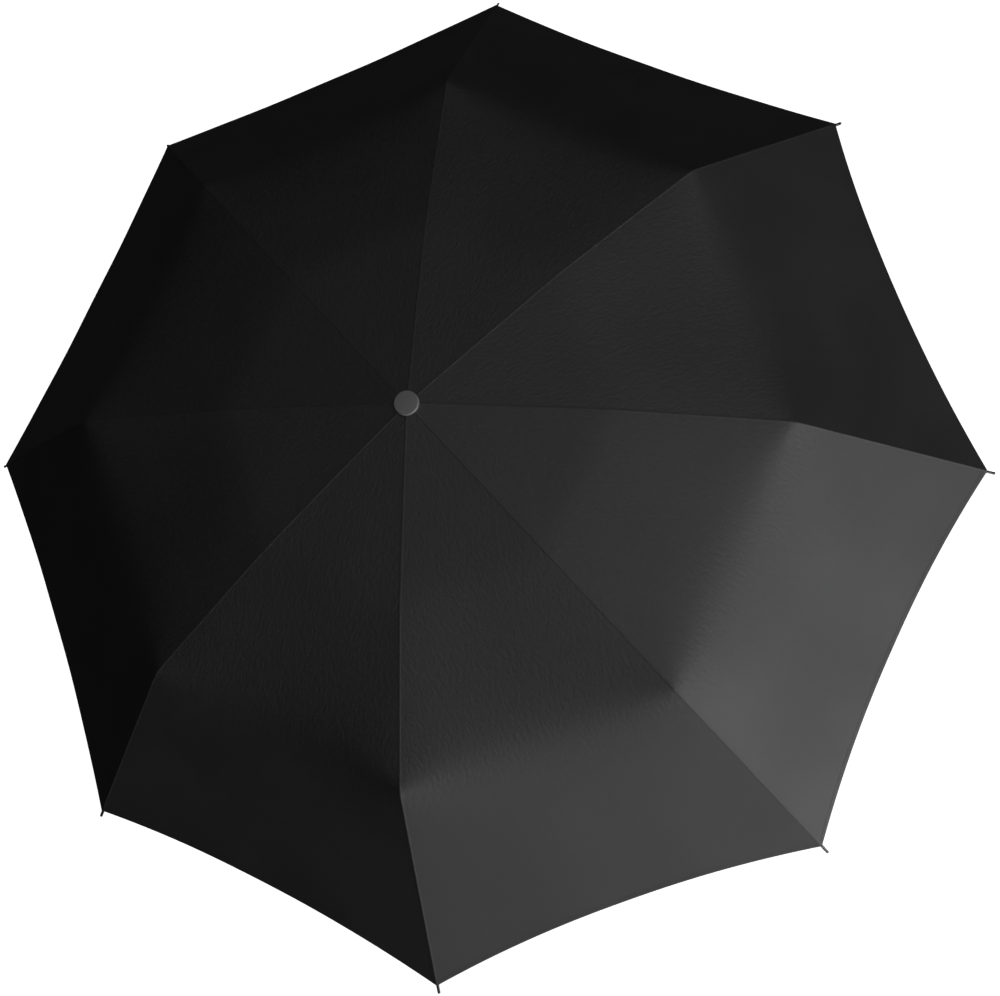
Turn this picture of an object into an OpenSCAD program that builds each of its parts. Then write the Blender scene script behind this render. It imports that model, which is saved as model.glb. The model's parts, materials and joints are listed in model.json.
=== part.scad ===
// Folding umbrella, open: eight sewn gores over a three-fold rib frame on a telescopic shaft.
// Millimetres. Z runs up the shaft, and the origin is at the middle of the handle's grip.

/* [Canopy] */
// Radius from the shaft to a corner of the fabric, where a rib tip holds it
canopy_r = 479; // [430:1:560]
// Drop of the fabric corner below the apex
drop_tip = 230.6; // [190:0.1:270]
// Radius of the outer rib joint, where the dome bends down
outer_joint_r = 318; // [300:1:360]
// Drop of the fabric over the outer rib joint
drop_outer = 59.5; // [50:0.5:80]
// Radius of the inner rib joint
inner_joint_r = 170; // [150:1:185]
// Drop of the fabric over the inner rib joint
drop_inner = 21; // [14:1:28]
// Depth of the hem's curve between two tips, measured outwards
hem_scallop = 13.5; // [4:0.5:24]
// Thickness of the fabric solid, measured straight down
fabric_t = 0.8; // [0.5:0.1:1.2]
// Gap between neighbouring gores along a seam
seam_gap = 0.5; // [0.2:0.1:1]
// Radius of the hole at the apex
apex_hole_r = 6; // [4:0.5:8]

/* [Shaft] */
// Outer radius of the top tube, which the runner slides on
top_tube_r = 6; // [5:0.1:7]
// Wall of every tube
tube_wall = 0.6; // [0.4:0.1:0.8]
// Radial gap between tubes that slide
tube_gap = 0.1; // [0.05:0.01:0.2]
// Length of the top tube below the crown hinge
top_tube_len = 216; // [206:1:260]
// Stretch of the middle tube that shows
middle_shows = 150; // [110:1:170]
// Stretch of the bottom tube that shows
bottom_shows = 120; // [90:1:140]
// Overlap of two tubes when they are drawn out
tube_overlap = 22; // [16:1:30]
// Length of the collar on a tube's lower end
ferrule_len = 6; // [4:0.5:7]
// Wall of that collar
ferrule_wall = 0.8; // [0.5:0.1:1.5]
// Radius of a spring catch's nose
catch_nose_r = 1.5; // [1:0.1:2]

/* [Handle] */
// Length of the handle from ring to end cap
handle_len = 70; // [60:1:100]
// Radius of the grip
grip_r = 15.5; // [13:0.5:18]
// Wall of the soft grip sleeve
grip_wall = 2.5; // [1.5:0.1:4]
// Straight length of the grip between its rounded ends
grip_straight = 48; // [36:1:60]
// Depth of the bottom tube in the handle
tube_in_handle = 42; // [30:1:55]
// Height of the end cap
end_cap_h = 9; // [8:0.5:14]
// Radius of the lanyard hole through the end cap
lanyard_r = 2; // [1.5:0.1:2.5]

/* [Crown and cap] */
// Radius of the circle of rib hinges on the crown and on the runner
hinge_r = 10.5; // [10:0.1:12]
// Height of the fabric's apex above the crown hinges
apex_above_hinge = 9; // [8.6:0.1:11]
// Outer radius of the crown's slotted disc
crown_r = 13.5; // [12.8:0.1:15]
// Radius of the metal cap on the apex
cap_r = 10.75; // [8:0.25:13]
// Height of the cap's dome
cap_dome = 2; // [1:0.5:8]

/* [Ribs] */
// Width of the inner rib's channel
inner_w = 4.4; // [4.2:0.1:5]
// Height of the inner rib's channel
inner_h = 5; // [4.8:0.1:5.4]
// Width of the middle rib's channel
mid_w = 4.2; // [4:0.1:4.6]
// Height of the middle rib's channel
mid_h = 4.4; // [4.2:0.1:4.8]
// Sheet thickness of both channels
channel_t = 0.5; // [0.4:0.05:0.6]
// Radius of the outer rib's rod
rod_r = 1.2; // [1:0.05:1.3]
// Thickness of every hinge tongue
tongue_t = 2.4; // [2:0.1:2.6]
// Radius of every rib rivet
rivet_r = 0.8; // [0.6:0.05:0.9]
// Radial gap round a rivet
rivet_gap = 0.06; // [0.03:0.01:0.1]
// Height of the inner joint's rivet above both channels' middles
joint_lift = 4.5; // [4.2:0.1:5.5]
// Depth of the middle rib's channel below the fabric at the rib joints
joint_depth = 1.5; // [1.2:0.1:3]
// Distance of the outer rib joint inside the fabric's bend
outer_joint_in = 2; // [1:0.5:4]
// Length of a tip past the fabric corner
tip_past = 13; // [6:0.5:16]
// Radius of a tip
tip_r = 1.4; // [1.3:0.05:1.8]
// Distance from the crown hinge to the stretcher's rivet on the inner rib
stretcher_at = 80; // [70:1:90]
// Length of a stretcher between its pivots
stretcher_len = 105; // [100:1:120]
// Width of a stretcher
stretcher_w = 2.6; // [2.2:0.1:2.8]
// Height of a stretcher
stretcher_h = 2.4; // [2:0.1:2.6]

/* [Runner] */
// Radial gap between the runner and the top tube
runner_gap = 0.15; // [0.1:0.01:0.3]
// Outer radius of the runner's barrel
barrel_r = 8; // [7.8:0.1:8.3]
// Length of the barrel below the stretcher pivots
barrel_below = 24; // [20:1:28]
// Thickness of the runner's slotted flange
flange_t = 3; // [2:0.1:4]
// Width of the release button
button_w = 6; // [5:0.5:7]
// Height of the release button
button_h = 11; // [8:0.5:13]
// Travel of the release button
button_travel = 1.4; // [1:0.1:1.6]

/* [Hidden] */
$fn = 48;
ribs = 8;
step = 360 / ribs;
half_step = step / 2;

// Small gap between pieces that are fixed to each other
fit_gap = 0.05;

// Heights along the shaft, from the grip's middle
handle_top = handle_len / 2;
handle_bottom = -handle_len / 2;
middle_bottom = handle_top + bottom_shows;
top_bottom = middle_bottom + middle_shows;
hinge_z = top_bottom + top_tube_len;
apex_z = hinge_z + apex_above_hinge;

// Trim ring and cross pin of the handle
grip_top = handle_len / 2 - end_cap_h - fit_gap;
ring_h = handle_top - grip_top - fit_gap;
// The grip's ends are rounded as far as its wall and the room beside the straight length allow
grip_round = max(0.4, min(grip_top - grip_straight / 2, grip_wall - 0.5));
grip_half = min(grip_straight / 2, grip_top - grip_round);
ring_top_wall = 3;
handle_pin_r = 1.2;
handle_pin_z = handle_top - tube_in_handle / 2;

// Tube radii, each sliding in the one above
middle_tube_r = top_tube_r - tube_wall - tube_gap;
bottom_tube_r = middle_tube_r - tube_wall - tube_gap;
slot_gap = 0.3;
nose_gap = 0.2;
overlap = 0.1;

// Fabric profile over a rib: a parabola to the outer joint, then a straight slope to the tip
seam_bow = (drop_outer / outer_joint_r - drop_inner / inner_joint_r) / (outer_joint_r - inner_joint_r);
seam_slope = drop_inner / inner_joint_r - seam_bow * inner_joint_r;
outer_fall = (drop_tip - drop_outer) / (canopy_r - outer_joint_r);
function drop(r) = r < outer_joint_r
    ? seam_slope * r + seam_bow * r * r
    : drop_outer + outer_fall * (r - outer_joint_r);

// Eyes that turn inside a channel stay a gap below its web, and the outer rivet's height follows
rod_eye_r = rod_r + 0.2;
rod_eye_t = 2 * rod_r - 0.4;
stretcher_eye_r = inner_h / 2 - channel_t - slot_gap;
outer_rivet_z = mid_h / 2 - channel_t - slot_gap - rod_eye_r;
mid_offset = joint_lift - outer_rivet_z;
joint_below = fabric_t + mid_h / 2 - outer_rivet_z + joint_depth;

// Rib joints in a rib's own plane, as [radius, height]
inner_joint = [inner_joint_r, apex_z - drop_inner - joint_below];
outer_joint = [outer_joint_r - outer_joint_in, apex_z - drop_outer - joint_below];
tip_depth = tip_r + fabric_t + 0.2;
outer_fabric_slope = atan(outer_fall);
tip_corner = [
    canopy_r - tip_depth * sin(outer_fabric_slope),
    apex_z - drop_tip - tip_depth * cos(outer_fabric_slope)
];
crown_hinge = [hinge_r, hinge_z];

function fall_angle(a, b) = atan2(a[1] - b[1], b[0] - a[0]);
inner_reach = norm(inner_joint - crown_hinge);
inner_slope = fall_angle(crown_hinge, inner_joint) + asin(joint_lift / inner_reach);
inner_len = inner_reach * cos(asin(joint_lift / inner_reach));
mid_reach = norm(outer_joint - inner_joint);
mid_slope = fall_angle(inner_joint, outer_joint) - asin(mid_offset / mid_reach);
mid_len = mid_reach * cos(asin(mid_offset / mid_reach));
outer_slope = fall_angle(outer_joint, tip_corner);
outer_len = norm(tip_corner - outer_joint) + tip_past;

// Stretcher pivot on the inner rib, and the runner pivot straight below the crown hinge
stretcher_pivot = crown_hinge + stretcher_at * [cos(inner_slope), -sin(inner_slope)];
stretcher_out = stretcher_pivot[0] - hinge_r;
stretcher_down = sqrt(stretcher_len * stretcher_len - stretcher_out * stretcher_out);
runner_pivot = [hinge_r, stretcher_pivot[1] - stretcher_down];
runner_z = runner_pivot[1];
stretcher_slope = fall_angle(stretcher_pivot, runner_pivot);

// Rib ends and hinge eyes
eye_r = 2.2;
ear_r = 2.4;
rod_start = rivet_r + rivet_gap + 0.2;
channel_start = crown_r - hinge_r + 2;
channel_short = 2.6;
// The middle rib's end stops where its corners would reach the fabric's outer slope
mid_past = outer_joint_in + 0.75 * joint_depth / outer_fall
    - mid_h / 2 * sin(mid_slope) - mid_w / 2 * tan(half_step);
tongue_root = 5;
tongue_h = 3.2;
wire_r = 0.6;
wire_gap = 0.15;
tip_len = tip_past + 3;

// Crown and cap
crown_top = hinge_z + apex_above_hinge - 2;
crown_under = 3.5;
crown_hub_r = top_tube_r + 1.5;
crown_hub_len = 12;
crown_slot_w = tongue_t + 2 * slot_gap;
slot_floor_r = hinge_r - eye_r - slot_gap;
washer_r = 9;
washer_t = 0.5;
stem_r = 2.4;
stem_len = 7;
cap_rim_h = 1.2;
cap_z = apex_z + 0.4;

// Runner, its latch and its button
runner_bore_r = top_tube_r + runner_gap;
flange_z = runner_z + rivet_r + 0.4;
runner_top = flange_z + flange_t;
foot_r = 1.9;
foot_pin_len = stretcher_w + 2.6;
foot_floor_r = min(barrel_r, hinge_r - foot_r - slot_gap);
runner_slot_w = stretcher_w + 2 * 0.4;
button_angle = half_step;
housing_r = barrel_r + 2.2;
housing_w = button_w + 4;
housing_h = button_h + 4;
housing_z = runner_z - barrel_below / 2 - 1;
pocket_floor_r = runner_bore_r + 0.8;
button_in_r = pocket_floor_r + button_travel + 0.2;
button_out_r = housing_r + 1;
latch_t = 0.4;
latch_nose_r = 1;
latch_nose_in = 0.5;

gore_inner_steps = 12;
gore_outer_steps = 6;
gore_cross_steps = 10;

function numbered(name) = [for (k = [1 : ribs]) str(name, "_", k)];

module tube(r, wall, z0, z1) {
    translate([0, 0, z0])
        difference() {
            cylinder(r = r, h = z1 - z0);
            translate([0, 0, -overlap])
                cylinder(r = r - wall, h = z1 - z0 + 2 * overlap);
        }
}

// A round hole through one side of a tube, along X
module side_hole(r, z, reach) {
    translate([0, 0, z])
        rotate([0, 90, 0])
            cylinder(r = r, h = reach);
}

// A box centred on Y and on its own height
module bar(x0, x1, w, h) {
    translate([x0, -w / 2, -h / 2])
        cube([x1 - x0, w, h]);
}

// A cylinder along Y, centred on its length
module cross_pin(r, len) {
    rotate([90, 0, 0])
        cylinder(r = r, h = len, center = true);
}

// A folded sheet channel, open below, centred on Y and on its own height
module channel(x0, x1, w, h) {
    difference() {
        bar(x0, x1, w, h);
        translate([0, 0, -channel_t])
            bar(x0 - overlap, x1 + overlap, w - 2 * channel_t, h);
    }
}

module in_rib_plane(k, point, slope) {
    rotate([0, 0, (k - 1) * step])
        translate([point[0], 0, point[1]])
            rotate([0, slope, 0])
                children();
}

module handle_grip() {
    color([0.07, 0.07, 0.075])
        rotate_extrude()
            difference() {
                union() {
                    translate([0, -grip_half])
                        square([grip_r, 2 * grip_half]);
                    translate([0, -grip_top])
                        square([grip_r - grip_round, 2 * grip_top]);
                    for (side = [-1, 1])
                        translate([grip_r - grip_round, side * grip_half])
                            circle(r = grip_round);
                }
                translate([-grip_r, -handle_len])
                    square([2 * grip_r - grip_wall, 2 * handle_len]);
            }
}

module handle_core() {
    bottom = handle_bottom + end_cap_h;
    color([0.1, 0.1, 0.105])
        difference() {
            translate([0, 0, bottom])
                cylinder(r = grip_r - grip_wall - fit_gap, h = handle_top - ring_h - bottom);
            translate([0, 0, handle_top - tube_in_handle])
                cylinder(r = bottom_tube_r + fit_gap, h = tube_in_handle + overlap);
            translate([0, 0, handle_pin_z])
                cross_pin(handle_pin_r + fit_gap, 2 * grip_r);
        }
}

module handle_pin() {
    color("silver")
        translate([0, 0, handle_pin_z])
            cross_pin(handle_pin_r, 2 * (grip_r - grip_wall) - 1);
}

module handle_ring() {
    color([0.45, 0.46, 0.47])
        translate([0, 0, handle_top - ring_h])
            difference() {
                cylinder(r1 = grip_r - 1, r2 = bottom_tube_r + ring_top_wall, h = ring_h);
                translate([0, 0, -overlap])
                    cylinder(r = bottom_tube_r + 2 * fit_gap, h = ring_h + 2 * overlap);
            }
}

module handle_end_cap() {
    cap_out_r = grip_r - 1;
    round_r = 2;
    color([0.08, 0.08, 0.085])
        difference() {
            translate([0, 0, handle_bottom])
                rotate_extrude()
                    intersection() {
                        union() {
                            square([cap_out_r - round_r, end_cap_h - fit_gap]);
                            translate([0, round_r])
                                square([cap_out_r, end_cap_h - fit_gap - round_r]);
                            translate([cap_out_r - round_r, round_r])
                                circle(r = round_r);
                        }
                        square([cap_out_r, end_cap_h]);
                    }
            translate([0, 0, handle_bottom + end_cap_h / 2])
                cross_pin(lanyard_r, 3 * grip_r);
        }
}

module bottom_tube() {
    color([0.3, 0.31, 0.32])
        difference() {
            tube(bottom_tube_r, tube_wall,
                 handle_top - tube_in_handle + fit_gap, middle_bottom + tube_overlap);
            side_hole(catch_nose_r + nose_gap, middle_bottom + tube_overlap / 2, top_tube_r);
            translate([0, 0, handle_pin_z])
                cross_pin(handle_pin_r + fit_gap, 2 * grip_r);
        }
}

module middle_tube() {
    color([0.34, 0.35, 0.36])
        difference() {
            tube(middle_tube_r, tube_wall, middle_bottom, top_bottom + tube_overlap);
            side_hole(catch_nose_r + nose_gap, middle_bottom + tube_overlap / 2, top_tube_r);
            side_hole(catch_nose_r + nose_gap, top_bottom + tube_overlap / 2, top_tube_r);
        }
}

module top_tube() {
    color([0.38, 0.39, 0.4])
        difference() {
            tube(top_tube_r, tube_wall, top_bottom, hinge_z - fit_gap);
            side_hole(catch_nose_r + nose_gap, top_bottom + tube_overlap / 2, 2 * top_tube_r);
            rotate([0, 0, button_angle])
                side_hole(latch_nose_r + nose_gap, housing_z, 2 * top_tube_r);
        }
}

module ferrule(r, z) {
    tube(r + fit_gap + ferrule_wall, ferrule_wall, z, z + ferrule_len);
}

module middle_ferrule() {
    color([0.08, 0.08, 0.085])
        ferrule(middle_tube_r, middle_bottom);
}

module top_ferrule() {
    color([0.08, 0.08, 0.085])
        ferrule(top_tube_r, top_bottom);
}

// A bent leaf in the end of an inner tube, with a nose through both tubes' walls
module spring_catch(tube_r, outer_r, z) {
    leaf_t = 0.5;
    leaf_w = 4;
    leaf_h = 12;
    inside = tube_r - tube_wall;
    leaf_x = sqrt(inside * inside - leaf_w * leaf_w / 4) - 0.2;
    color([0.7, 0.71, 0.72])
        translate([0, 0, z]) {
            for (side = [0, 180])
                rotate([0, 0, side])
                    translate([leaf_x - leaf_t, -leaf_w / 2, -leaf_h / 2])
                        cube([leaf_t, leaf_w, leaf_h]);
            translate([-leaf_x, -leaf_w / 2, -leaf_h / 2])
                cube([2 * leaf_x, leaf_w, leaf_t]);
            rotate([0, 90, 0])
                translate([0, 0, leaf_x - leaf_t])
                    cylinder(r = catch_nose_r, h = outer_r - fit_gap - leaf_x + leaf_t);
        }
}

module lower_catch() {
    spring_catch(bottom_tube_r, middle_tube_r, middle_bottom + tube_overlap / 2);
}

module upper_catch() {
    spring_catch(middle_tube_r, top_tube_r, top_bottom + tube_overlap / 2);
}

// Slots for the rib tongues, as a set of boxes from a floor radius outwards
module rib_slots(floor_r, w, z0, z1) {
    for (k = [1 : ribs])
        rotate([0, 0, (k - 1) * step])
            translate([floor_r, -w / 2, z0])
                cube([crown_r, w, z1 - z0]);
}

module crown() {
    under = hinge_z - crown_under;
    color([0.12, 0.12, 0.125])
        difference() {
            union() {
                translate([0, 0, under])
                    cylinder(r = crown_r, h = crown_top - washer_t - under);
                translate([0, 0, hinge_z - crown_hub_len])
                    cylinder(r = crown_hub_r, h = crown_hub_len);
            }
            translate([0, 0, hinge_z - crown_hub_len - overlap])
                cylinder(r = top_tube_r + fit_gap, h = crown_hub_len + overlap);
            translate([0, 0, hinge_z - overlap])
                cylinder(r = stem_r + fit_gap, h = apex_above_hinge + overlap);
            rib_slots(slot_floor_r, crown_slot_w, under - overlap, crown_top - washer_t - 1.5);
            translate([0, 0, hinge_z])
                rotate_extrude()
                    translate([hinge_r, 0])
                        circle(r = wire_r + fit_gap);
        }
}

module crown_wire() {
    color("silver")
        translate([0, 0, hinge_z])
            rotate_extrude()
                translate([hinge_r, 0])
                    circle(r = wire_r);
}

module top_washer() {
    color([0.06, 0.06, 0.065])
        tube(washer_r, washer_r - stem_r - fit_gap, crown_top - washer_t + fit_gap, crown_top);
}

module cap() {
    dome_r = (cap_r * cap_r + cap_dome * cap_dome) / (2 * cap_dome);
    color([0.5, 0.51, 0.52])
        union() {
            translate([0, 0, cap_z])
                rotate_extrude()
                    intersection() {
                        translate([0, cap_rim_h + cap_dome - dome_r])
                            circle(r = dome_r, $fn = 240);
                        square([cap_r, cap_rim_h + cap_dome + overlap]);
                    }
            translate([0, 0, cap_z - stem_len])
                cylinder(r = stem_r, h = stem_len + overlap);
        }
}

module runner() {
    color([0.12, 0.12, 0.125])
        difference() {
            union() {
                translate([0, 0, runner_z - barrel_below])
                    cylinder(r = barrel_r, h = runner_top - runner_z + barrel_below);
                translate([0, 0, flange_z])
                    cylinder(r = crown_r, h = flange_t);
                rotate([0, 0, button_angle])
                    translate([0, -housing_w / 2, housing_z - housing_h / 2])
                        cube([housing_r, housing_w, housing_h]);
            }
            translate([0, 0, runner_z - barrel_below - overlap])
                cylinder(r = runner_bore_r, h = runner_top - runner_z + barrel_below + 2 * overlap);
            rib_slots(foot_floor_r, runner_slot_w, flange_z - overlap, runner_top + overlap);
            if (foot_floor_r < barrel_r)
                rib_slots(foot_floor_r, foot_pin_len + 2 * slot_gap,
                          runner_z - foot_r - slot_gap, flange_z);
            rotate([0, 0, button_angle]) {
                translate([pocket_floor_r, -button_w / 2 - slot_gap, housing_z - button_h / 2 - slot_gap])
                    cube([housing_r, button_w + 2 * slot_gap, button_h + 2 * slot_gap]);
                side_hole(latch_nose_r + nose_gap, housing_z, pocket_floor_r + slot_gap);
            }
        }
}

// A leaf behind the button, with a nose in the latch hole of the top tube
module latch_spring() {
    nose_from = top_tube_r - latch_nose_in;
    color([0.7, 0.71, 0.72])
        rotate([0, 0, button_angle]) {
            translate([pocket_floor_r + fit_gap, -button_w / 2 + 1, housing_z - button_h / 2 + 1])
                cube([latch_t, button_w - 2, button_h - 2]);
            translate([nose_from, 0, housing_z])
                rotate([0, 90, 0])
                    cylinder(r = latch_nose_r, h = pocket_floor_r + fit_gap + latch_t - nose_from);
        }
}

module release_button() {
    ridge_r = 0.5;
    ridge_pitch = 2;
    color([0.45, 0.46, 0.47])
        rotate([0, 0, button_angle]) {
            translate([button_in_r, -button_w / 2, housing_z - button_h / 2])
                cube([button_out_r - button_in_r, button_w, button_h]);
            for (n = [-2 : 2])
                translate([button_out_r, 0, housing_z + n * ridge_pitch])
                    cross_pin(ridge_r, button_w - 1);
        }
}

// A gore between two ribs: rows run outwards over the ribs' own profile, columns run across
gore_steps = gore_inner_steps + gore_outer_steps;
function hem_r(v) = canopy_r - hem_scallop * (1 - pow(abs(v), 2.2));
function gore_r(i, v) = i <= gore_inner_steps
    ? apex_hole_r + (outer_joint_r - apex_hole_r) * i / gore_inner_steps
    : outer_joint_r + (hem_r(v) - outer_joint_r) * (i - gore_inner_steps) / gore_outer_steps;
function gore_point(i, j, down) =
    let (v = 2 * j / gore_cross_steps - 1, r = gore_r(i, v))
    [
        r * cos(half_step),
        v * (r * sin(half_step) - seam_gap / 2),
        apex_z - drop(r) - down
    ];

module gore_sheet() {
    rows = gore_steps + 1;
    cols = gore_cross_steps + 1;
    layer = rows * cols;
    points = [for (down = [0, fabric_t], i = [0 : gore_steps], j = [0 : gore_cross_steps])
        gore_point(i, j, down)];
    function at(i, j, l) = l * layer + i * cols + j;
    top = [for (i = [0 : gore_steps - 1], j = [0 : gore_cross_steps - 1], h = [0, 1])
        h == 0 ? [at(i, j, 0), at(i, j + 1, 0), at(i + 1, j, 0)]
               : [at(i + 1, j, 0), at(i, j + 1, 0), at(i + 1, j + 1, 0)]];
    under = [for (f = top) [f[0] + layer, f[2] + layer, f[1] + layer]];
    rim = concat(
        [for (j = [0 : gore_cross_steps]) at(0, j, 0)],
        [for (i = [1 : gore_steps]) at(i, gore_cross_steps, 0)],
        [for (j = [gore_cross_steps - 1 : -1 : 0]) at(gore_steps, j, 0)],
        [for (i = [gore_steps - 1 : -1 : 1]) at(i, 0, 0)]);
    sides = [for (n = [0 : len(rim) - 1], h = [0, 1])
        let (a = rim[n], b = rim[(n + 1) % len(rim)])
        h == 0 ? [a, a + layer, b] : [b, a + layer, b + layer]];
    polyhedron(points, concat(top, under, sides));
}

module gore(k) {
    color([0.05, 0.05, 0.055])
        rotate([0, 0, (k - 1) * step + half_step])
            gore_sheet();
}

// Plate outlines in a rib's own plane, extruded across it
module plate(t) {
    rotate([90, 0, 0])
        linear_extrude(height = t, center = true)
            children();
}

module inner_rib(k) {
    color([0.2, 0.2, 0.21])
        in_rib_plane(k, crown_hinge, inner_slope)
            difference() {
                union() {
                    channel(channel_start, inner_len - channel_short, inner_w, inner_h);
                    plate(tongue_t)
                        circle(r = eye_r);
                    bar(0, channel_start + tongue_root, tongue_t, tongue_h);
                    translate([channel_start, overlap - inner_w / 2, -tongue_h / 2 + overlap])
                        cube([2 * channel_t, inner_w - 2 * overlap,
                              (tongue_h + inner_h) / 2 - 2 * overlap]);
                    for (side = [-1, 1])
                        translate([0, side * (inner_w - channel_t) / 2, 0])
                            plate(channel_t) {
                                translate([inner_len, joint_lift])
                                    circle(r = ear_r);
                                polygon([
                                    [inner_len - channel_short - 6, -inner_h / 2],
                                    [inner_len - channel_short, -inner_h / 2],
                                    [inner_len + ear_r, joint_lift],
                                    [inner_len - ear_r, joint_lift],
                                    [inner_len - channel_short - 6, inner_h / 2]
                                ]);
                            }
                    translate([stretcher_at, 0, 0])
                        cross_pin(rivet_r, inner_w + 0.6);
                    translate([inner_len, 0, joint_lift])
                        cross_pin(rivet_r, inner_w + 0.6);
                }
                cross_pin(wire_r + wire_gap, inner_w);
            }
}

module stretcher(k) {
    color([0.2, 0.2, 0.21])
        in_rib_plane(k, stretcher_pivot, stretcher_slope)
            difference() {
                union() {
                    bar(0, stretcher_len, stretcher_w, stretcher_h);
                    plate(stretcher_w)
                        circle(r = stretcher_eye_r);
                    translate([stretcher_len, 0, 0]) {
                        plate(stretcher_w)
                            circle(r = foot_r);
                        cross_pin(rivet_r, foot_pin_len);
                    }
                }
                cross_pin(rivet_r + rivet_gap, inner_w);
            }
}

module mid_rib(k) {
    color([0.22, 0.22, 0.23])
        in_rib_plane(k, inner_joint, mid_slope)
            difference() {
                union() {
                    translate([0, 0, -joint_lift])
                        channel(channel_short, mid_len + mid_past, mid_w, mid_h);
                    plate(tongue_t) {
                        circle(r = eye_r);
                        polygon([
                            [-eye_r * sin(45), -eye_r * cos(45)],
                            [channel_short, -joint_lift - mid_h / 4],
                            [channel_short + tongue_root, -joint_lift - mid_h / 4],
                            [channel_short + tongue_root, -joint_lift + mid_h / 2 - overlap],
                            [channel_short, -joint_lift + mid_h / 2 - overlap],
                            [eye_r * cos(30), eye_r * sin(30)]
                        ]);
                    }
                    translate([channel_short, -mid_w / 2 + overlap, -joint_lift - mid_h / 4])
                        cube([channel_t, mid_w - 2 * overlap, mid_h / 2]);
                    translate([mid_len, 0, -mid_offset])
                        cross_pin(rivet_r, mid_w + 0.6);
                }
                cross_pin(rivet_r + rivet_gap, inner_w);
            }
}

// Half of the rod's section with its thicker, rounded tip, turned about the rod's axis
module rod_outline() {
    translate([0, rod_start])
        square([rod_r, outer_len - tip_r - rod_start]);
    translate([0, outer_len - tip_len])
        square([tip_r, tip_len - tip_r]);
    intersection() {
        translate([0, outer_len - tip_r])
            circle(r = tip_r);
        translate([0, outer_len - tip_r - overlap])
            square([tip_r, 2 * tip_r]);
    }
}

module outer_rib(k) {
    color([0.16, 0.16, 0.165])
        in_rib_plane(k, outer_joint, outer_slope)
            difference() {
                union() {
                    plate(rod_eye_t)
                        circle(r = rod_eye_r);
                    rotate([0, 90, 0])
                        rotate_extrude()
                            rod_outline();
                }
                cross_pin(rivet_r + rivet_gap, inner_w);
            }
}

handle_grip();
handle_core();
handle_end_cap();
handle_ring();
handle_pin();
bottom_tube();
lower_catch();
middle_tube();
middle_ferrule();
upper_catch();
top_tube();
top_ferrule();
crown();
crown_wire();
top_washer();
cap();
runner();
latch_spring();
release_button();
for (k = [1 : ribs]) {
    gore(k);
    inner_rib(k);
    stretcher(k);
    mid_rib(k);
    outer_rib(k);
}
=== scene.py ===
# %% [markdown]
# # A folding umbrella, open
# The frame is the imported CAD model: the shaft, ribs, runner and handle are already in place and
# ride on their own bodies. This script adds what a frame can't show: the sewn cover, its seams and
# stitches, and a finish for every surface.

# %% Load the frame
import json
import math
import bpy
import numpy as np
from mathutils import Matrix, Vector


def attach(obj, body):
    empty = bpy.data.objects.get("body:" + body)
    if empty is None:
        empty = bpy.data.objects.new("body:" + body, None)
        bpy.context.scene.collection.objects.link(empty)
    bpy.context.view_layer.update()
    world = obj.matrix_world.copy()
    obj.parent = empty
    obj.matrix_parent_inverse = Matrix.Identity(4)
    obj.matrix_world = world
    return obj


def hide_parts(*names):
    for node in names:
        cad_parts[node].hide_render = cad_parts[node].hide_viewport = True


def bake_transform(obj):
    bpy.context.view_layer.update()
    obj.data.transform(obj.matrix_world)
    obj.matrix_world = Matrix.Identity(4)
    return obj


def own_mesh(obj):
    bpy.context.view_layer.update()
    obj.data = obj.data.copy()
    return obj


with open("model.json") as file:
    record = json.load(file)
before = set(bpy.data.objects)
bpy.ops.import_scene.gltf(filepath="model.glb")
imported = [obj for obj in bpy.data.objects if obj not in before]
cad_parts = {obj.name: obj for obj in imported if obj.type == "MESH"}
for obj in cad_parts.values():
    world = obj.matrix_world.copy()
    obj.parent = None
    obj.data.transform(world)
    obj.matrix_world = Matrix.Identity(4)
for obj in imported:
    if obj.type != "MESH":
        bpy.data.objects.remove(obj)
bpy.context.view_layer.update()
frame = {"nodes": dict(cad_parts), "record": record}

# %% [markdown]
# ## Camera
# The photograph looks down on the cover from above, turned by almost half a right angle. A camera
# could be placed by eye, but a fit to the eight rib tips and the seams is good to a few pixels. It
# gives a distance, a tilt away from the shaft and a roll, measured from the apex of the cover.

# %% Camera
APEX_Z = 0.530
CAMERA_ACROSS, CAMERA_UP, CAMERA_AWAY = -0.0778, 0.0790, 1.530
TILT, ROLL, TURN = math.radians(17.35), math.radians(43.65), math.radians(0.56)
SENSOR_WIDTH, LENS_PER_WIDTH = 36, 1.835


def place_object(name, data):
    thing = bpy.data.objects.new(name, data)
    bpy.context.scene.collection.objects.link(thing)
    return thing


spin = Matrix.Rotation(TURN, 3, "Z")
ahead = spin @ Vector((0, math.sin(TILT), -math.cos(TILT)))
level = spin @ Vector((1, 0, 0))
above = level.cross(ahead)
right = math.cos(ROLL) * level - math.sin(ROLL) * above
up = math.sin(ROLL) * level + math.cos(ROLL) * above
apex = Vector((0, 0, APEX_Z))
eye = apex - (CAMERA_ACROSS * right + CAMERA_UP * up + CAMERA_AWAY * ahead)

camera_data = bpy.data.cameras.new("camera")
camera_data.sensor_fit = "HORIZONTAL"
camera_data.sensor_width = SENSOR_WIDTH
camera_data.lens = SENSOR_WIDTH * LENS_PER_WIDTH
camera = place_object("camera", camera_data)
camera.matrix_world = Matrix((right, up, -ahead)).transposed().to_4x4()
camera.location = eye
bpy.context.scene.camera = camera
print("camera at", [round(x, 3) for x in eye])

# %% [markdown]
# ## Material helpers
# Every finish here is built from nodes. A small helper makes a material with its main shader and
# sets the plain numbers on the shader's own sockets. Detail then comes from textures on the piece's
# own coordinates, so that it keeps its place when the umbrella folds. A noise mostly stays between
# 0.3 and 0.7, so that is the span a ramp reads unless it is told another.

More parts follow.
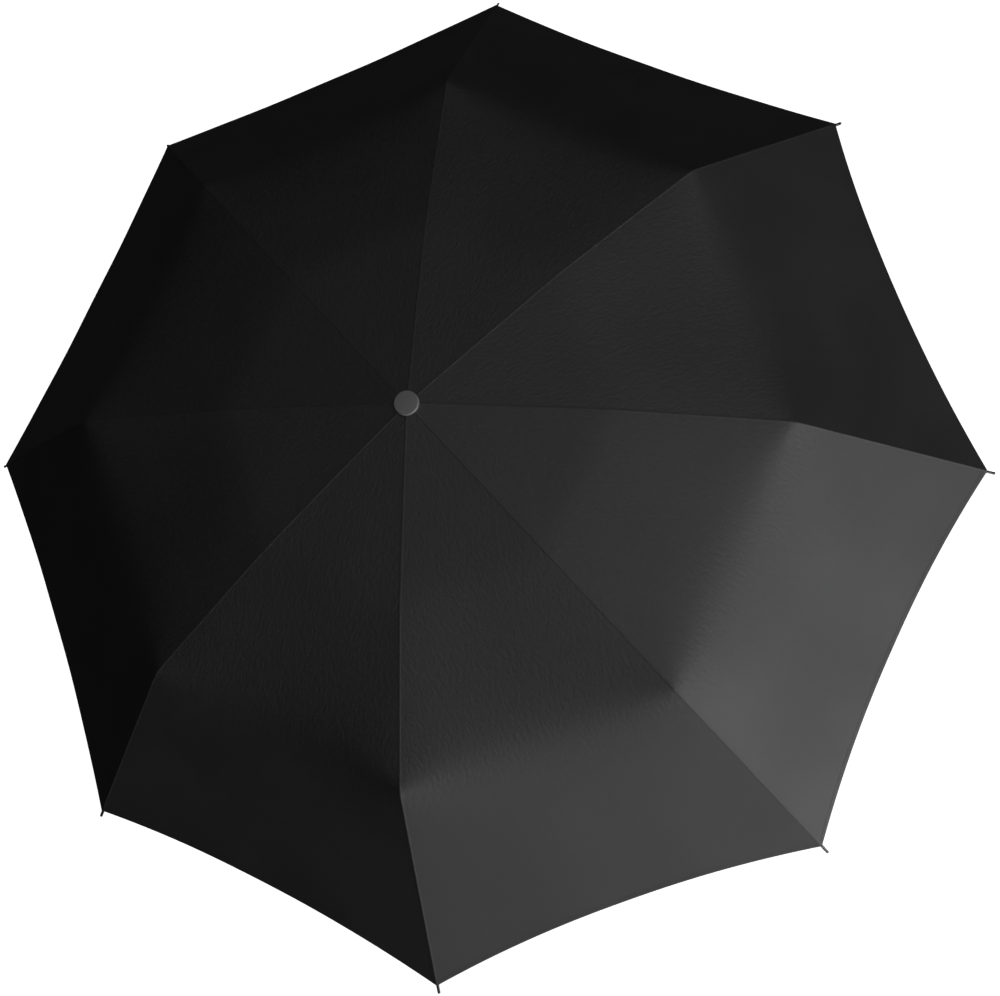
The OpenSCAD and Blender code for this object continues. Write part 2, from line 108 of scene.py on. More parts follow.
# %% Shader and node helpers
def new_finish(name, colour, roughness, metallic=0.0, **sockets):
    finish = bpy.data.materials.new(name)
    finish.use_nodes = True
    shader = finish.node_tree.nodes["Principled BSDF"]
    shader.inputs["Base Color"].default_value = (*colour, 1)
    shader.inputs["Roughness"].default_value = roughness
    shader.inputs["Metallic"].default_value = metallic
    for socket, value in sockets.items():
        shader.inputs[socket.replace("_", " ")].default_value = value
    return finish, finish.node_tree, shader


def add(tree, kind, **values):
    node = tree.nodes.new(kind)
    for key, value in values.items():
        if key in node.inputs:
            node.inputs[key].default_value = value
        else:
            setattr(node, key, value)
    return node


def feed(tree, shader, **sources):
    for socket, source in sources.items():
        tree.links.new(source, shader.inputs[socket.replace("_", " ")])


def combine(tree, operation, *terms):
    node = add(tree, "ShaderNodeMath", operation=operation)
    for socket, term in zip(node.inputs, terms):
        if isinstance(term, bpy.types.NodeSocket):
            tree.links.new(term, socket)
        else:
            socket.default_value = term
    return node.outputs["Value"]


print("shader helpers ready")

# %% Texture helpers
NOISE_LOW, NOISE_HIGH = 0.3, 0.7


def ramp(tree, source, first, last, low=NOISE_LOW, high=NOISE_HIGH):
    node = tree.nodes.new("ShaderNodeMapRange")
    node.inputs["From Min"].default_value = low
    node.inputs["From Max"].default_value = high
    node.inputs["To Min"].default_value = first
    node.inputs["To Max"].default_value = last
    tree.links.new(source, node.inputs["Value"])
    return node.outputs["Result"]


def shade(tree, source, dark, light):
    node = tree.nodes.new("ShaderNodeMix")
    node.data_type = "RGBA"
    node.inputs["A"].default_value = (*dark, 1)
    node.inputs["B"].default_value = (*light, 1)
    tree.links.new(source, node.inputs["Factor"])
    return node.outputs["Result"]


def bump(tree, shader, height, strength, distance):
    node = add(tree, "ShaderNodeBump", Strength=strength, Distance=distance)
    tree.links.new(height, node.inputs["Height"])
    tree.links.new(node.outputs["Normal"], shader.inputs["Normal"])


def grain(tree, scale, stretch=(1, 1, 1), detail=4.0):
    place = tree.nodes.new("ShaderNodeTexCoord")
    mapping = add(tree, "ShaderNodeMapping", Scale=stretch)
    noise = add(tree, "ShaderNodeTexNoise", Scale=scale, Detail=detail)
    tree.links.new(place.outputs["Object"], mapping.inputs["Vector"])
    tree.links.new(mapping.outputs["Vector"], noise.inputs["Vector"])
    return noise.outputs["Fac"]


print("texture helpers ready")

# %% [markdown]
# ## Cover cloth
# The cover is a fine plain weave of black polyester with a dull gloss. An even black would look
# like plastic, so two sets of threads cross in the bump, and a slow noise moves the tone and the
# gloss a little. The photograph also shows fine, uneven crinkles that run out from the shaft, a few
# millimetres apart: a noise drawn long in that direction makes them, and they fade at the outer
# joints. Threads and crinkles read the cloth's own UV map, so that they turn with each gore. It is
# laid out in metres across a gore, and along it in the radius times 1.2, because the cloth slopes.
# The same crinkle noise also darkens and lightens the cloth's colour: that part is painted shade
# and sheen along the crinkles, and it does not fade.

# %% Cover cloth finish
THREAD = 0.0005
CRINKLE_CELLS = (330, 150, 1)
CRINKLE_FADE = (0.35, 0.42)
FADED_SHARE = 0.2
WEAVE_SHARE, CRINKLE_SHADE_SHARE, GLOSS_SHARE = 0.05, 0.7, 0.15
CLOTH_RELIEF, CLOTH_DEPTH = 0.75, 0.0006


def thread_wave(tree, position):
    return combine(tree, "SINE", combine(tree, "MULTIPLY", position, 2 * math.pi / THREAD))


def crinkles(tree, laid):
    drawn = add(tree, "ShaderNodeMapping", Scale=CRINKLE_CELLS)
    noise = add(tree, "ShaderNodeTexNoise", Scale=1.0, Detail=3.0, Roughness=0.6, Distortion=0.5)
    tree.links.new(laid, drawn.inputs["Vector"])
    tree.links.new(drawn.outputs["Vector"], noise.inputs["Vector"])
    return noise.outputs["Fac"]


def cloth_finish(name, dark, light):
    finish, tree, shader = new_finish(name, light, 0.61, Specular_IOR_Level=1.0)
    laid = add(tree, "ShaderNodeUVMap", uv_map="cloth").outputs["UV"]
    place = tree.nodes.new("ShaderNodeSeparateXYZ")
    tree.links.new(laid, place.inputs["Vector"])
    across, along = place.outputs["X"], place.outputs["Y"]
    weave = combine(tree, "MULTIPLY", thread_wave(tree, across), thread_wave(tree, along))
    crinkle = crinkles(tree, laid)
    fade = ramp(tree, along, 1.0, FADED_SHARE, *CRINKLE_FADE)
    folds = combine(tree, "MULTIPLY", combine(tree, "SUBTRACT", crinkle, 0.5), fade)
    relief = combine(tree, "MULTIPLY_ADD", weave, WEAVE_SHARE, folds)
    slow = grain(tree, 9.0, detail=5.0)
    # painted shade and sheen: the crinkle noise darkens and lightens the base colour along the
    # crinkles
    lines = ramp(tree, crinkle, 0.0, 0.6, 0.35, 0.65)
    tone = combine(tree, "MULTIPLY_ADD", lines, CRINKLE_SHADE_SHARE, ramp(tree, slow, 0.1, 0.5))
    gloss = combine(tree, "MULTIPLY_ADD", folds, GLOSS_SHARE, ramp(tree, slow, 0.58, 0.65))
    feed(tree, shader, Base_Color=shade(tree, tone, dark, light), Roughness=gloss)
    bump(tree, shader, relief, CLOTH_RELIEF, CLOTH_DEPTH)
    return finish


cover_cloth = cloth_finish("cover_cloth", (0.006, 0.006, 0.0061), (0.011, 0.011, 0.0112))
seam_cloth = cloth_finish("seam_cloth", (0.005, 0.005, 0.0051), (0.011, 0.011, 0.0112))
print("cloth finishes", cover_cloth.name, seam_cloth.name)

# %% [markdown]
# ## The cover's shape
# Eight gores are stretched between the ribs. Over a rib the cloth follows the rib's own curve: a
# shallow dome out to the outer joint, then a straight fall to the tip. The pull of the cloth
# flattens the dome, so it bends a little at the ring of inner joints, and the knee over the outer
# joints is rounder between two ribs. One formula gives any point of any gore, so that pieces cut
# from it meet exactly. In it, r is the distance out along the ribs, and v goes from -1 at one rib
# to 1 at the next.

# %% Profile of the cover
RIBS = 8
HALF = math.pi / RIBS
INNER_R, OUTER_R, CORNER_R = 0.170, 0.318, 0.479
INNER_DROP, OUTER_DROP, CORNER_DROP = 0.021, 0.0595, 0.2306
INNER_FALL = INNER_DROP / INNER_R
MID_FALL = (OUTER_DROP - INNER_DROP) / (OUTER_R - INNER_R)
FALL = (CORNER_DROP - OUTER_DROP) / (CORNER_R - OUTER_R)
BOW = (OUTER_DROP / OUTER_R - INNER_FALL) / (OUTER_R - INNER_R)
SLOPE = INNER_FALL - BOW * INNER_R
INNER_BEND, PULL = 0.014, 0.85
RIB_KNEE, EXTRA_KNEE = 0.007, 0.045
KNEE_ROUND, KNEE_RISE, KNEE_REACH = 0.4, 0.03, 0.1
HEM_SCALLOP, HEM_CURVE = 0.0135, 2.2


def cover_drop(r, knee):
    dome = SLOPE * r + BOW * r * r
    past = 0.5 * (r - INNER_R + np.sqrt((r - INNER_R) ** 2 + INNER_BEND ** 2))
    drawn = INNER_FALL * r + (MID_FALL - INNER_FALL) * past
    dome = dome + PULL * (drawn - dome)
    straight = OUTER_DROP + FALL * (r - OUTER_R)
    gap = straight - dome
    rounding = 0.5 * (np.sqrt(gap * gap + (knee * KNEE_ROUND) ** 2) - np.abs(gap))
    rounding = rounding - KNEE_RISE * knee
    return np.maximum(dome, straight) + rounding * np.exp(-(gap / KNEE_REACH) ** 2)


def hem_radius(v):
    return CORNER_R - HEM_SCALLOP * (1 - np.abs(v) ** HEM_CURVE)


print("steepest fall in degrees", round(math.degrees(math.atan(FALL)), 1))

# %% [markdown]
# ## Wrinkles
# Taut cloth still isn't smooth: it puckers beside a seam, swells a little between the ribs and fans
# out towards the hem. Three small waves are enough. Their odd numbers only keep neighbouring gores
# from looking alike.

# %% Wrinkles
PUCKER_H, PUCKER_PITCH, PUCKER_REACH, PUCKER_START = 0.00004, 0.011, 0.008, 0.003
SWELL_H, SWELL_FULL_R = 0.0007, 0.2
FAN_H, FAN_R, FAN_RISE = 0.0004, 0.35, 0.12


def wrinkles(gore, r, v):
    from_seam = r * math.sin(HALF) - np.abs(v) * r * math.sin(HALF)
    middle = 1 - v * v
    ripple = np.sin(r / PUCKER_PITCH * 2 * math.pi + 2.1 * np.sin(31 * r + gore) + gore)
    beside = np.exp(-from_seam / PUCKER_REACH) * (1 - np.exp(-from_seam / PUCKER_START))
    swell = np.sin(17 * r + 1.7 * gore) * np.sin(2.3 * v + 0.9 * gore)
    swell = SWELL_H * middle * swell * np.clip(r / SWELL_FULL_R, 0, 1) ** 2
    fan = FAN_H * middle * np.clip((r - FAN_R) / FAN_RISE, 0, 1) * np.sin(9 * v + 0.6 * gore)
    return PUCKER_H * ripple * beside + swell + fan


print("wrinkles in millimetres, at most", round(1000 * (PUCKER_H + SWELL_H + FAN_H), 2))

# %% Points and normals
STEP = 1e-4


def cover_point(gore, r, v):
    knee = RIB_KNEE + EXTRA_KNEE * (1 - v * v)
    along = r * math.cos(HALF)
    across = v * r * math.sin(HALF)
    height = APEX_Z - cover_drop(r, knee) + wrinkles(gore, r, v)
    angle = (gore - 1) * 2 * HALF + HALF
    return np.stack([
        along * math.cos(angle) - across * math.sin(angle),
        along * math.sin(angle) + across * math.cos(angle),
        height], -1)


def unit(vectors):
    return vectors / np.linalg.norm(vectors, axis=-1, keepdims=True)


def cover_normal(gore, r, v):
    by_r = cover_point(gore, r + STEP, v) - cover_point(gore, r - STEP, v)
    by_v = cover_point(gore, r, v + 10 * STEP) - cover_point(gore, r, v - 10 * STEP)
    normal = unit(np.cross(by_r, by_v))
    return np.where(normal[..., 2:] < 0, -normal, normal)


print("corner at", np.round(cover_point(1, np.array(CORNER_R), np.array(-1.0)), 4))

# %% [markdown]
# ## Cloth as a mesh
# A sheet without thickness has no edge and a wrong inside, so each piece of cloth is a closed skin:
# a grid on top, the same grid a third of a millimetre lower, and a wall round the rim. The normals
# come from the formula and not from the mesh, so that the shading runs on over every cut.

# %% Places on the cover
UV_ALONG = 1.2
SIDES = {1: "a", -1: "b"}


def gore_on(k, side):
    return k if side == 1 else (k - 2) % RIBS + 1


def rib_point(k, r):
    angle = (k - 1) * 2 * HALF
    z = APEX_Z - float(cover_drop(np.array(r), RIB_KNEE))
    return np.array([r * math.cos(angle), r * math.sin(angle), z])


def cloth_uv(r, v):
    return np.stack([v * r * math.sin(HALF), r * UV_ALONG], -1)


print("rib 1 ends at", np.round(rib_point(1, CORNER_R), 4))

# %% Thin sheets
CLOTH_T = 0.00035


def skin_faces(points, normals, rows, cols):
    count = rows * cols
    number = np.arange(count).reshape(rows, cols)
    a, b, c, d = number[:-1, :-1], number[1:, :-1], number[1:, 1:], number[:-1, 1:]
    upper = np.stack([a, b, c, d], -1).reshape(-1, 4)
    p = points[upper[0]]
    if np.dot(np.cross(p[1] - p[0], p[2] - p[0]), normals[upper[0][0]]) < 0:
        upper = upper[:, ::-1]
    faces = upper.tolist() + (upper[:, ::-1] + count).tolist()
    edges = {}
    for face in upper.tolist():
        for i in range(4):
            edges[(face[i], face[(i + 1) % 4])] = True
    for start, end in edges:
        if (end, start) not in edges:
            faces.append([start, start + count, end + count, end])
    return faces


def thin_sheet(name, top, normal, uv, finish, thickness=CLOTH_T):
    points = np.concatenate([top.reshape(-1, 3), (top - thickness * normal).reshape(-1, 3)])
    normals = np.concatenate([normal.reshape(-1, 3), -normal.reshape(-1, 3)])
    mesh = bpy.data.meshes.new(name)
    mesh.from_pydata(points.tolist(), [], skin_faces(points, normals, *top.shape[:2]))
    layer = mesh.uv_layers.new(name="cloth")
    spots = np.concatenate([uv.reshape(-1, 2)] * 2)
    corner = np.empty(len(mesh.loops), np.int32)
    mesh.loops.foreach_get("vertex_index", corner)
    layer.data.foreach_set("uv", spots[corner].astype(np.float32).ravel())
    mesh.materials.append(finish)
    mesh.shade_smooth()
    mesh.normals_split_custom_set_from_vertices(normals.tolist())
    return place_object(name, mesh)


print("cloth in millimetres", CLOTH_T * 1000)

# %% [markdown]
# ## The cover's pieces
# The real cloth pleats between the ribs when the frame folds. A rigid sheet would be left hanging,
# so each gore is cut along its middle, and at the two joints of the ribs, and every piece rides on
# the rib that holds its edge. A flattening direction is worked out for each piece, in the piece and
# square to the rib, so that the cloth would gather along the rib, but nothing here flattens it. The
# outer cut runs a little outwards towards the middle of the gore: cut straight across, its corner
# would stand up past the joint when folded. At rest the cuts don't show, because both sides take
# their points and normals from the same formula.

# %% Zones of the cover
COLLAR = (0.004, 0.022)
ZONES = {"inner": (COLLAR[1], INNER_R), "mid": (INNER_R, OUTER_R), "outer": (OUTER_R, CORNER_R)}
ROWS, COLS = {"inner": 26, "mid": 26, "outer": 32}, 20
CUT_SLANT = 0.045
cover, sewn_on, folding = {}, {}, {}


def cut_radius(v):
    return OUTER_R * (1 + CUT_SLANT * (1 - np.abs(v)))


def zone_edges(zone, v):
    start, end = ZONES[zone]
    even = np.ones_like(v)
    first = cut_radius(v) if zone == "outer" else start * even
    last = {"inner": end * even, "mid": cut_radius(v), "outer": hem_radius(v)}[zone]
    return first, last


def fold_direction(gore, k, zone, last):
    start, end = ZONES[zone]
    rib = Vector(rib_point(k, end) - rib_point(k, start)).normalized()
    corner = cover_point(gore, min(end, last[-1]), np.array(0.0))
    middle = Vector(corner - rib_point(k, end))
    return (middle - middle.dot(rib) * rib).normalized()


def fold_with_rib(piece, zone, k):
    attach(piece, f"{zone}_{k}")
    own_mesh(piece)


print("zones", {zone: [round(r, 3) for r in ends] for zone, ends in ZONES.items()})

# %% Cut the cover
for k in range(1, RIBS + 1):
    for side, letter in SIDES.items():
        gore = gore_on(k, side)
        v = np.linspace(-side, 0, COLS + 1)
        for zone, (start, _) in ZONES.items():
            first, last = zone_edges(zone, v)
            r = first + (last - first) * np.linspace(0, 1, ROWS[zone] + 1)[:, None]
            vv = np.broadcast_to(v, r.shape)
            top, normal = cover_point(gore, r, vv), cover_normal(gore, r, vv)
            name = f"cover_{zone}_{k}_{letter}"
            piece = thin_sheet(name, top, normal, cloth_uv(r, vv), cover_cloth)
            cover[(zone, k, side)] = (piece, top)
            sewn_on[(zone, k, side)] = []
            folding[(zone, k, side)] = (fold_direction(gore, k, zone, last), rib_point(k, start))
            if side == 1 and zone == "inner":
                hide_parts(f"gore_{k}")
            fold_with_rib(piece, zone, k)
print("cover pieces", len(cover))

# %% [markdown]
# ## Cloth round the cap
# Close to the cap the cloth lies on the crown, and a finger's breadth further out it follows the
# ribs. When the ribs drop, it has to turn over the crown's edge without a gap. A small collar for
# each rib covers this ring; here it is only built in place, on no body, and nothing bends it.

# %% Collars
COLLAR_ROWS, COLLAR_COLS = 15, 9
collars = {}


def bend_over_crown(piece):
    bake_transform(piece)


for k in range(1, RIBS + 1):
    tops, leanings, spots = [], [], []
    for side, ends in ((-1, (0, 1)), (1, (-1, 0))):
        gore = gore_on(k, side)
        radii, v = np.linspace(*COLLAR, COLLAR_ROWS), np.linspace(*ends, COLLAR_COLS)
        rr, vv = np.meshgrid(radii, v, indexing="ij")
        tops.append(cover_point(gore, rr, vv))
        leanings.append(cover_normal(gore, rr, vv))
        spots.append(cloth_uv(rr, vv))
    top = np.concatenate([tops[0][:, :-1], tops[1]], 1)
    shared = unit(leanings[0][:, -1:] + leanings[1][:, :1])
    leaning = np.concatenate([leanings[0][:, :-1], shared, leanings[1][:, 1:]], 1)
    uv = np.concatenate([spots[0][:, :-1], spots[1]], 1)
    collar = thin_sheet(f"cover_collar_{k}", top, leaning, uv, cover_cloth)
    bend_over_crown(collar)
    collars[k] = (collar, top)
print("collars", len(collars))

# %% [markdown]
# ## Seams
# Neighbouring gores are joined along each rib by a felled seam: both edges are folded under and
# sewn down flat, which leaves a narrow raised band. It could be painted on, but the band catches a
# line of light on the real cover, so it is a strip of its own, a fifth of a millimetre proud, that
# rides on the rib.

# %% Seam bands
BAND_HALF, BAND_LIFT, BAND_CLEAR, BAND_T = 0.0012, 0.00017, 0.00002, 0.0002
BAND_ROUND, BAND_ARC, BAND_COLS = 0.7, 1.5, 9
BAND_ROWS, COLLAR_BAND_ROWS = 40, 12
BESIDE_SEAM = 0.999
SEAMS = {"collar": (0.0104, COLLAR[1]), **ZONES}
section = [(BAND_HALF * math.sin(a), BAND_LIFT * math.cos(a) ** BAND_ROUND + BAND_CLEAR)
           for a in np.linspace(-BAND_ARC, BAND_ARC, BAND_COLS)]
collar_bands = {}


def seam_points(k, start, end, rows, offset, lift):
    r = np.linspace(start, end, rows + 1)
    side = 1 if offset >= 0 else -1
    v = -side * (1 - abs(offset) / (r * math.sin(HALF)))
    leanings = [cover_normal(gore_on(k, s), r, np.full_like(r, -s * BESIDE_SEAM)) for s in SIDES]
    normal = unit(0.5 * (leanings[0] + leanings[1]))
    return cover_point(gore_on(k, side), r, v) + lift * normal


for k in range(1, RIBS + 1):
    for zone, (start, end) in SEAMS.items():
        rows = COLLAR_BAND_ROWS if zone == "collar" else BAND_ROWS
        top = np.stack([seam_points(k, start, end, rows, o, lift) for o, lift in section], 1)
        normal = unit(np.cross(np.gradient(top, axis=0), np.gradient(top, axis=1)))
        normal *= np.sign(normal[..., 2:])
        along = np.linspace(start, end, rows + 1) * UV_ALONG
        uv = np.stack(np.meshgrid(along, [o for o, _ in section], indexing="ij"), -1)
        band = thin_sheet(f"seam_{zone}_{k}", top, normal, uv, seam_cloth, BAND_T)
        if zone == "collar":
            collar_bands[k] = band
            bend_over_crown(band)
        else:
            sewn_on[(zone, k, 1)].append(band)
            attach(band, f"{zone}_{k}")
print("seam bands", RIBS * len(SEAMS))

# %% [markdown]
# ## Hem
# The lower edge is turned up and sewn, so it is a little thicker than the cloth. The band follows
# the hem's own curve on each half of a gore and folds with the piece that carries it.

# %% Hem bands
HEM_WIDTH, HEM_RISE, HEM_T = 0.00396, 0.0003, 0.0008
HEM_OUT, HEM_STEP, HEM_CLEAR = 0.0003, 0.0004, 0.00002
hem_rise = np.array([0.0, HEM_RISE, HEM_RISE, HEM_CLEAR])[:, None, None]
for k in range(1, RIBS + 1):
    for side, letter in SIDES.items():
        gore = gore_on(k, side)
        v = np.linspace(-side, 0, COLS + 1)
        edge = hem_radius(v)
        r = np.stack([edge + HEM_OUT, edge, edge - HEM_WIDTH, edge - HEM_WIDTH - HEM_STEP], 0)
        vv = np.broadcast_to(v, r.shape)
        normal = cover_normal(gore, r, vv)
        top = cover_point(gore, r, vv) + hem_rise * normal
        band = thin_sheet(f"hem_{k}_{letter}", top, normal, cloth_uv(r, vv), seam_cloth, HEM_T)
        sewn_on[("outer", k, side)].append(band)
        fold_with_rib(band, "outer", k)
print("hem bands", RIBS * len(SIDES))

# %% [markdown]
# ## Stitches
# Two rows of thread hold each seam, and one holds the hem. A stitch is a short bar, repeated along
# a line, which is what Geometry Nodes are for: the line is resampled at the stitch pitch and a bar
# is set on every point, turned along the line. The result is made a plain mesh, one for each piece
# that it is sewn to.

# %% Thread finish
thread_finish, thread_tree, thread_shader = new_finish("thread", (0.03, 0.03, 0.031), 0.5)
thread_tone = shade(
    thread_tree, grain(thread_tree, 900.0), (0.02, 0.02, 0.0205), (0.045, 0.045, 0.046))
feed(thread_tree, thread_shader, Base_Color=thread_tone)
print("thread", thread_finish.name)

# %% Stitch tree
STITCH_SIZES = {"Pitch": 0.0032, "Stitch Length": 0.0023, "Thread Radius": 0.00014}
BAR_SIDES = 6


def stitch_tree():
    tree = bpy.data.node_groups.new("stitch_rows", "GeometryNodeTree")
    face = tree.interface
    face.new_socket("Geometry", in_out="INPUT", socket_type="NodeSocketGeometry")
    sockets = {}
    for label, value in STITCH_SIZES.items():
        socket = face.new_socket(label, in_out="INPUT", socket_type="NodeSocketFloat")
        socket.default_value = value
        sockets[label] = socket.identifier
    socket = face.new_socket("Thread", in_out="INPUT", socket_type="NodeSocketMaterial")
    sockets["Thread"] = socket.identifier
    face.new_socket("Geometry", in_out="OUTPUT", socket_type="NodeSocketGeometry")
    given = tree.nodes.new("NodeGroupInput")
    result = tree.nodes.new("NodeGroupOutput")
    line = tree.nodes.new("GeometryNodeMeshToCurve")
    spaced = add(tree, "GeometryNodeCurveToPoints", mode="LENGTH")
    bar = add(tree, "GeometryNodeMeshCylinder", Vertices=BAR_SIDES)
    placed = tree.nodes.new("GeometryNodeInstanceOnPoints")
    real = tree.nodes.new("GeometryNodeRealizeInstances")
    dressed = tree.nodes.new("GeometryNodeSetMaterial")
    link = tree.links.new
    link(given.outputs["Geometry"], line.inputs["Mesh"])
    link(line.outputs["Curve"], spaced.inputs["Curve"])
    link(given.outputs["Pitch"], spaced.inputs["Length"])
    link(given.outputs["Thread Radius"], bar.inputs["Radius"])
    link(given.outputs["Stitch Length"], bar.inputs["Depth"])
    link(spaced.outputs["Points"], placed.inputs["Points"])
    link(spaced.outputs["Rotation"], placed.inputs["Rotation"])
    link(bar.outputs["Mesh"], placed.inputs["Instance"])
    link(placed.outputs["Instances"], real.inputs["Geometry"])
    link(real.outputs["Geometry"], dressed.inputs["Geometry"])
    link(given.outputs["Thread"], dressed.inputs["Material"])
    link(dressed.outputs["Geometry"], result.inputs["Geometry"])
    return tree, sockets


stitches, stitch_sockets = stitch_tree()
print("stitch inputs", list(stitch_sockets))

# %% Sew the rows
SEAM_ROWS, ROW_LIFT, ROW_POINTS = (-0.0008, 0.0008), BAND_LIFT * 0.75, 60
CUT_GAP, TIP_GAP = 0.001, 0.004
HEM_ROW_IN, HEM_ROW_LIFT, HEM_ROW_REACH = 0.003, 0.00035, 0.985


def sew(name, lines):
    points, edges = [], []
    for line in lines:
        first = len(points)
        points += [tuple(p) for p in line]
        edges += [(first + i, first + i + 1) for i in range(len(line) - 1)]
    mesh = bpy.data.meshes.new(name + "_line")
    mesh.from_pydata(points, edges, [])
    carrier = place_object(name + "_line", mesh)
    modifier = carrier.modifiers.new("stitches", "NODES")
    modifier.node_group = stitches
    modifier[stitch_sockets["Thread"]] = thread_finish
    view = bpy.context.evaluated_depsgraph_get()
    sewn = bpy.data.meshes.new_from_object(carrier.evaluated_get(view))
    carrier.modifiers.remove(modifier)
    bpy.data.objects.remove(carrier)
    if thread_finish.name not in sewn.materials:
        sewn.materials.append(thread_finish)
    piece = place_object(name, sewn)
    return piece


stitch_faces = 0
for k in range(1, RIBS + 1):
    for zone, (start, end) in ZONES.items():
        stop = end - (TIP_GAP if zone == "outer" else CUT_GAP)
        lines = [seam_points(k, start + CUT_GAP, stop, ROW_POINTS, o, ROW_LIFT) for o in SEAM_ROWS]
        row = sew(f"stitches_{zone}_{k}", lines)
        sewn_on[(zone, k, 1)].append(row)
        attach(row, f"{zone}_{k}")
        stitch_faces += len(row.data.polygons)
    for side, letter in SIDES.items():
        gore = gore_on(k, side)
        v = np.linspace(-side * HEM_ROW_REACH, 0, ROW_POINTS)
        r = hem_radius(v) - HEM_ROW_IN
        line = cover_point(gore, r, v) + HEM_ROW_LIFT * cover_normal(gore, r, v)
        row = sew(f"stitches_hem_{k}_{letter}", [line])
        sewn_on[("outer", k, side)].append(row)
        fold_with_rib(row, "outer", k)
        stitch_faces += len(row.data.polygons)
print("stitch faces", stitch_faces)

# %% [markdown]
# ## Area of the cloth
# A tailor cuts every piece flat. Here the area of each piece's grid is only added up into the area
# of the whole cover.

def sheet_area(top):
    one = np.cross(top[1:, :-1] - top[:-1, :-1], top[1:, 1:] - top[:-1, :-1])
    two = np.cross(top[1:, 1:] - top[:-1, :-1], top[:-1, 1:] - top[:-1, :-1])
    return 0.5 * (np.linalg.norm(one, axis=-1).sum() + np.linalg.norm(two, axis=-1).sum())


def declare_cloth(piece, top, sewn):
    area = float(sheet_area(top))
    return area


cover_area = sum(declare_cloth(piece, top, sewn_on[key]) for key, (piece, top) in cover.items())
cover_area += sum(declare_cloth(*collars[k], [collar_bands[k]]) for k in collars)
print("cover area in square metres", round(cover_area, 4))

# %% [markdown]
# ## Frame finishes
# The CAD nodes keep their shapes and only need surfaces. The ribs are black lacquered steel, worn a
# little to bare metal. The tubes are drawn steel with fine streaks along their length, and the
# springs are rolled and brighter. The cap is turned aluminium with faint rings.

# %% Lacquered ribs
rib_paint, tree, shader = new_finish(
    "rib_paint", (0.045, 0.046, 0.048), 0.38, 0.6, Coat_Weight=0.15)
wear = grain(tree, 160.0, detail=6.0)
bare = ramp(tree, wear, 0, 1, 0.62, 0.72)
feed(tree, shader, Base_Color=shade(tree, bare, (0.04, 0.041, 0.043), (0.2, 0.2, 0.2)),
     Roughness=ramp(tree, wear, 0.3, 0.46))
bump(tree, shader, wear, 0.12, 0.0001)
print("ribs", rib_paint.name)

# %% Drawn and rolled steel
drawn_steel, tree, shader = new_finish("drawn_steel", (0.42, 0.43, 0.44), 0.3, 1.0)
streaks = grain(tree, 500.0, (1, 1, 0.02))
feed(tree, shader, Base_Color=shade(tree, streaks, (0.34, 0.35, 0.36), (0.52, 0.53, 0.54)),
     Roughness=ramp(tree, streaks, 0.22, 0.4))
bump(tree, shader, streaks, 0.08, 0.00005)

spring_steel, tree, shader = new_finish("spring_steel", (0.55, 0.55, 0.56), 0.25, 1.0)
rolled = grain(tree, 700.0, (1, 1, 0.1))
feed(tree, shader, Base_Color=shade(tree, rolled, (0.48, 0.48, 0.49), (0.62, 0.62, 0.63)),
     Roughness=ramp(tree, rolled, 0.18, 0.36))
print("steel", drawn_steel.name, spring_steel.name)

# %% Turned metal
turned_metal, tree, shader = new_finish("turned_metal", (0.24, 0.24, 0.243), 0.5, 0.35)
place = tree.nodes.new("ShaderNodeTexCoord")
wave = add(tree, "ShaderNodeTexWave", wave_type="RINGS", rings_direction="Z",
           Scale=260.0, Distortion=0.6)
tree.links.new(place.outputs["Object"], wave.inputs["Vector"])
rings = wave.outputs["Fac"]
feed(tree, shader, Base_Color=shade(tree, rings, (0.21, 0.21, 0.213), (0.26, 0.26, 0.263)),
     Roughness=ramp(tree, rings, 0.55, 0.66, 0, 1))
bump(tree, shader, rings, 0.08, 0.00004)
print("cap", turned_metal.name)

# %% [markdown]
# ## Plastic and rubber
# The plastic is moulded and finely eroded, and the grip is a soft rubber with a pebbled skin. They
# differ only in tone, gloss and the size of the grain, so one helper makes all three.

# %% Plastic and rubber finishes
GLOSS_SPREAD, GRAIN_RELIEF = 0.07, 0.3


def moulded(name, dark, light, roughness, pebble, depth):
    finish, tree, shader = new_finish(name, light, roughness)
    fine = grain(tree, pebble, detail=3.0)
    feed(tree, shader, Base_Color=shade(tree, fine, dark, light),
         Roughness=ramp(tree, fine, roughness - GLOSS_SPREAD, roughness + GLOSS_SPREAD))
    bump(tree, shader, fine, GRAIN_RELIEF, depth)
    return finish


black_plastic = moulded(
    "black_plastic", (0.018, 0.018, 0.019), (0.03, 0.03, 0.031), 0.5, 1400.0, 0.00006)
grey_plastic = moulded(
    "grey_plastic", (0.2, 0.2, 0.21), (0.27, 0.27, 0.28), 0.32, 1100.0, 0.00003)
grip_rubber = moulded(
    "grip_rubber", (0.012, 0.012, 0.013), (0.026, 0.026, 0.027), 0.68, 700.0, 0.00025)
print("moulded", black_plastic.name, grey_plastic.name, grip_rubber.name)

# %% Dress the nodes
finishes = {
    "rib_metal": rib_paint, "shaft_metal": drawn_steel,
    "spring_steel": spring_steel, "cap_metal": turned_metal,
    "black_plastic": black_plastic, "grey_plastic": grey_plastic,
    "grip_rubber": grip_rubber, "cover_fabric": cover_cloth,
}
slots = {part["node"]: part["material_slot"] for part in frame["record"]["subparts"]}
for name, node in frame["nodes"].items():
    node.data.materials.clear()
    node.data.materials.append(finishes[slots[name]])
print("finished nodes", len(frame["nodes"]))
